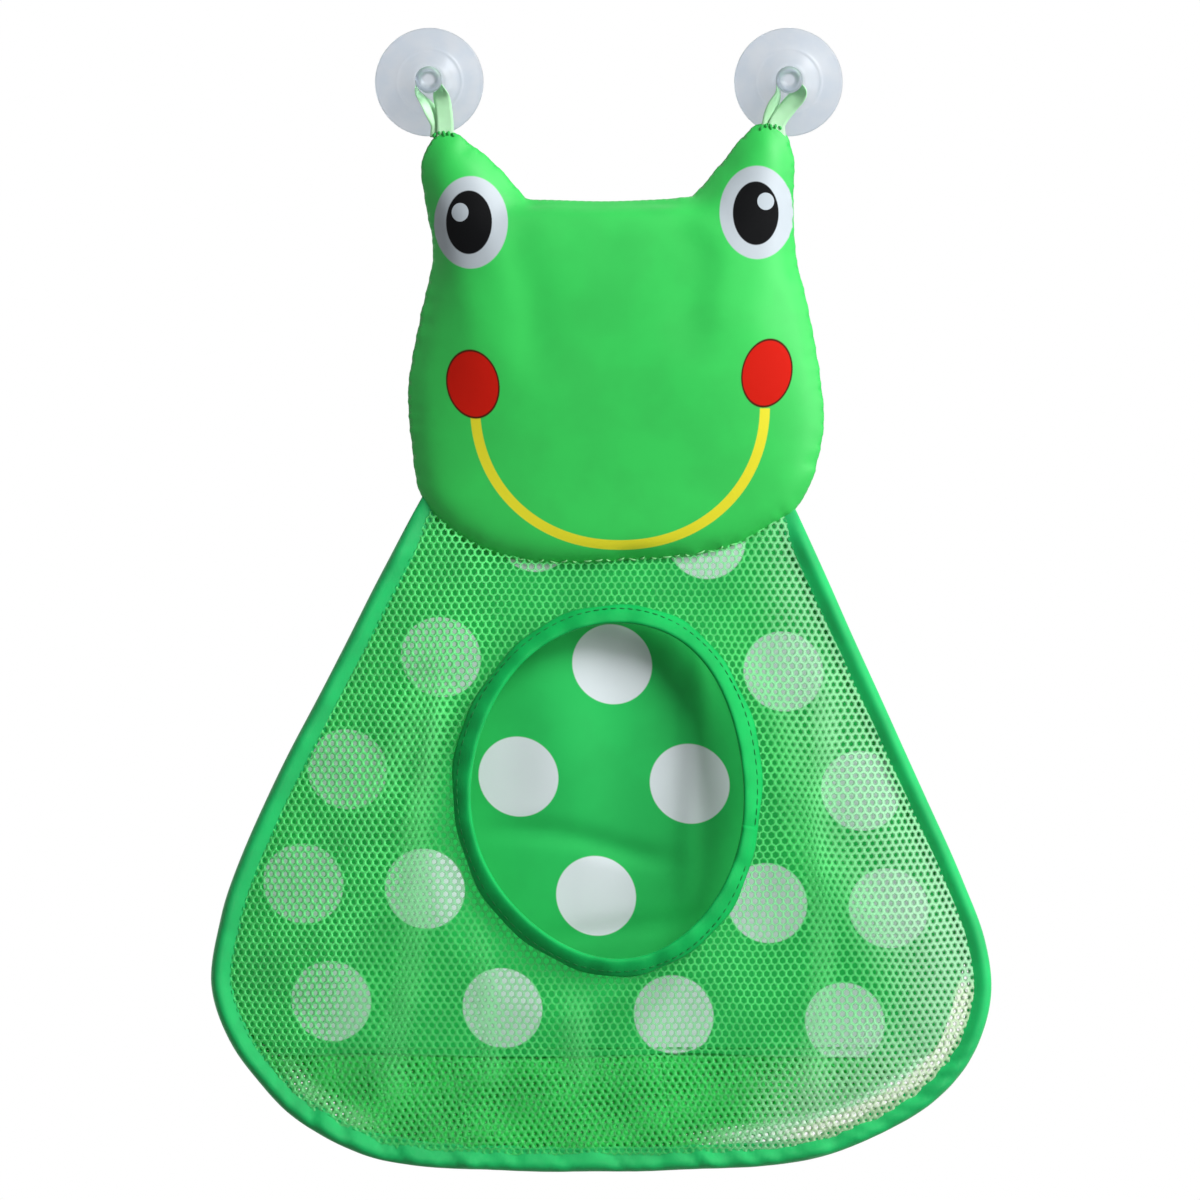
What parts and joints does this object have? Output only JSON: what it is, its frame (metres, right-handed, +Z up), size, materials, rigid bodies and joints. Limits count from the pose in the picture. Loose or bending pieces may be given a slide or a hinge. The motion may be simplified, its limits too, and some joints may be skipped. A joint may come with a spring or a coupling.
{
  "type": "bath toy organizer",
  "caption": "Wall-hung net pocket for bath toys with an oval bound mouth, sewn under a padded frog head that hangs on ribbon loops from suction cups.",
  "frame": {"origin": "on the wall plane, midway between the axes of the two suction cups", "axes": "+X to the right seen from the front, +Y into the wall, +Z up"},
  "size_m": [0.3588, 0.0382, 0.5272],
  "materials": {
    "head_fabric": "smooth satin-woven polyester, printed",
    "dotted_fabric": "plain-woven polyester with white dots",
    "net": "warp-knit polyester net with six-sided holes",
    "binding_tape": "woven bias tape, slightly glossy",
    "ribbon": "satin ribbon",
    "thread": "polyester sewing thread",
    "wadding": "white polyester wadding and filler cord",
    "clear_vinyl": "soft clear vinyl"
  },
  "bodies": {
    "head": {"head_front_panel": "head_fabric", "head_back_panel": "head_fabric", "head_filling": "wadding", "head_closing_thread": "thread", "left_loop_stitch": "thread", "right_loop_stitch": "thread"},
    "left_loop": {"left_ribbon_loop": "ribbon"},
    "right_loop": {"right_ribbon_loop": "ribbon"},
    "left_cup": {"left_suction_cup": "clear_vinyl"},
    "right_cup": {"right_suction_cup": "clear_vinyl"},
    "bag": {"front_mesh": "net", "mouth_binding": "binding_tape", "mouth_stitch_thread": "thread", "back_panel": "dotted_fabric", "drain_mesh": "net", "drain_seam_thread": "thread", "edge_binding": "binding_tape", "edge_cord": "wadding", "edge_stitch_thread": "thread"}
  },
  "joints": [
    {"name": "left_loop_swing", "type": "hinge", "parent": "head", "child": "left_loop", "pos_m": [-0.07575, -0.008, -0.0197], "axis": [1, 0, 0], "range_deg": [0, 90]},
    {"name": "right_loop_swing", "type": "hinge", "parent": "head", "child": "right_loop", "pos_m": [0.07575, -0.008, -0.0197], "axis": [1, 0, 0], "range_deg": [0, 90]},
    {"name": "left_cup_spin", "type": "hinge", "parent": "left_loop", "child": "left_cup", "pos_m": [-0.083, -0.01225, 0], "axis": [0, 1, 0], "continuous": true},
    {"name": "right_cup_spin", "type": "hinge", "parent": "right_loop", "child": "right_cup", "pos_m": [0.083, -0.01225, 0], "axis": [0, 1, 0], "continuous": true},
    {"name": "bag_swing", "type": "hinge", "parent": "head", "child": "bag", "pos_m": [0, -0.0095, -0.209], "axis": [-1, 0, 0], "range_deg": [0, 75]}
  ]
}
